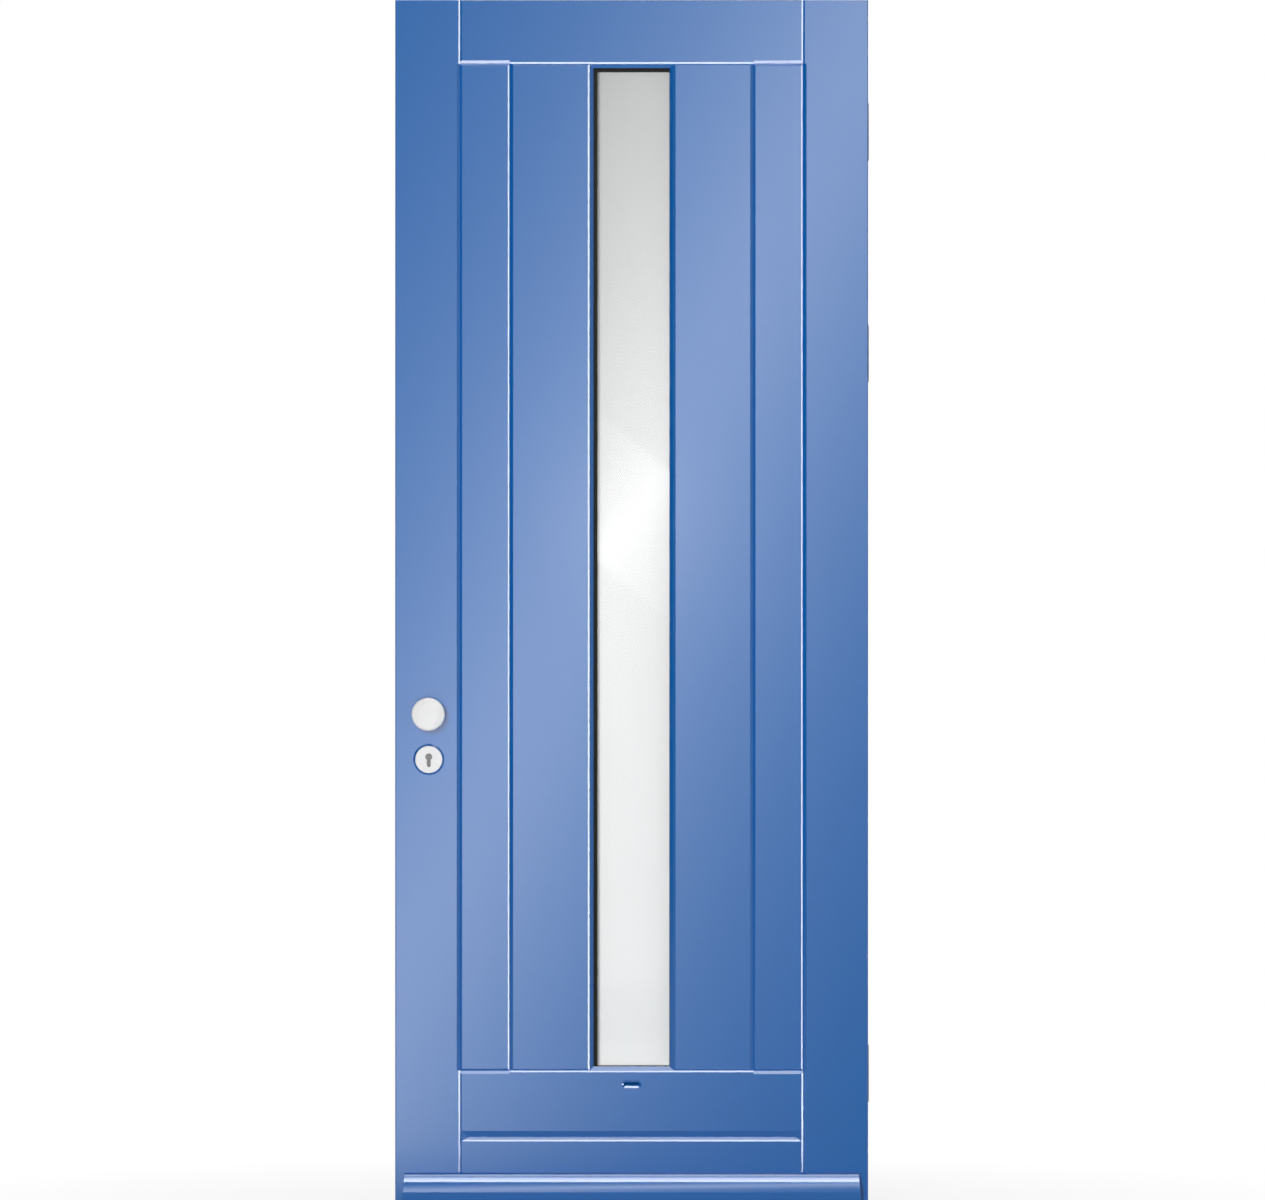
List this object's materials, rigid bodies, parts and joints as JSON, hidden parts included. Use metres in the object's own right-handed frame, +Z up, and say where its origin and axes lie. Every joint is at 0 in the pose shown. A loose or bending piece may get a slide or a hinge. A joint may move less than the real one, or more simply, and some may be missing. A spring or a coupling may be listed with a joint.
{
  "type": "wooden front door",
  "caption": "Painted timber front door leaf with sunk and flush boards, a tall narrow pane, knob, key escutcheon and weatherboard, hung on butt hinges.",
  "frame": {"origin": "on the back of the lower hinge's frame plate, in the leaf's mid-plane, at the plate's mid-height", "axes": "+X along the leaf towards the hinge jamb, +Y into the house, +Z up"},
  "size_m": [0.832, 0.1576, 2.115],
  "materials": {
    "blue_painted_timber": "semi-gloss paint",
    "white_enamelled_metal": "satin white",
    "lock_steel": "brushed",
    "cylinder_nickel": "satin nickel",
    "pane_glass": "satin glass",
    "spacer_bar": "dark anodised",
    "black_seal": "matte"
  },
  "bodies": {
    "hinge_plates": {"lower_hinge_frame_leaf": "white_enamelled_metal", "middle_hinge_frame_leaf": "white_enamelled_metal", "upper_hinge_frame_leaf": "white_enamelled_metal", "lower_hinge_pin": "white_enamelled_metal", "middle_hinge_pin": "white_enamelled_metal", "upper_hinge_pin": "white_enamelled_metal"},
    "leaf": {"lock_stile": "blue_painted_timber", "hinge_stile": "blue_painted_timber", "top_rail": "blue_painted_timber", "bottom_rail": "blue_painted_timber", "left_narrow_board": "blue_painted_timber", "right_narrow_board": "blue_painted_timber", "left_wide_board": "blue_painted_timber", "right_wide_board": "blue_painted_timber", "weatherboard": "blue_painted_timber", "outside_bead_bottom": "blue_painted_timber", "outside_bead_right": "blue_painted_timber", "outside_bead_top": "blue_painted_timber", "outside_bead_left": "blue_painted_timber", "outside_key_collar": "blue_painted_timber", "inside_bead_bottom": "blue_painted_timber", "inside_bead_right": "blue_painted_timber", "inside_bead_top": "blue_painted_timber", "inside_bead_left": "blue_painted_timber", "inside_key_collar": "blue_painted_timber", "outside_rose": "white_enamelled_metal", "inside_rose": "white_enamelled_metal", "outside_escutcheon": "white_enamelled_metal", "inside_escutcheon": "white_enamelled_metal", "lock_case": "lock_steel", "latch_bolt": "lock_steel", "dead_bolt": "lock_steel", "key_cylinder": "cylinder_nickel", "outside_pane": "pane_glass", "inside_pane": "pane_glass", "glazing_spacer": "spacer_bar", "outside_gasket": "black_seal", "inside_gasket": "black_seal", "lower_hinge_door_leaf": "white_enamelled_metal", "middle_hinge_door_leaf": "white_enamelled_metal", "upper_hinge_door_leaf": "white_enamelled_metal"},
    "knob": {"outside_knob": "white_enamelled_metal", "inside_knob": "white_enamelled_metal", "knob_spindle": "lock_steel"}
  },
  "joints": [
    {"name": "door_swing", "type": "hinge", "parent": "hinge_plates", "child": "leaf", "pos_m": [-0.0055, 0.0345, 0], "axis": [0, 0, -1], "range_deg": [0, 110]},
    {"name": "knob_turn", "type": "hinge", "parent": "leaf", "child": "knob", "pos_m": [-0.773, 0, 0.632], "axis": [0, -1, 0], "range_deg": [-45, 45]}
  ]
}
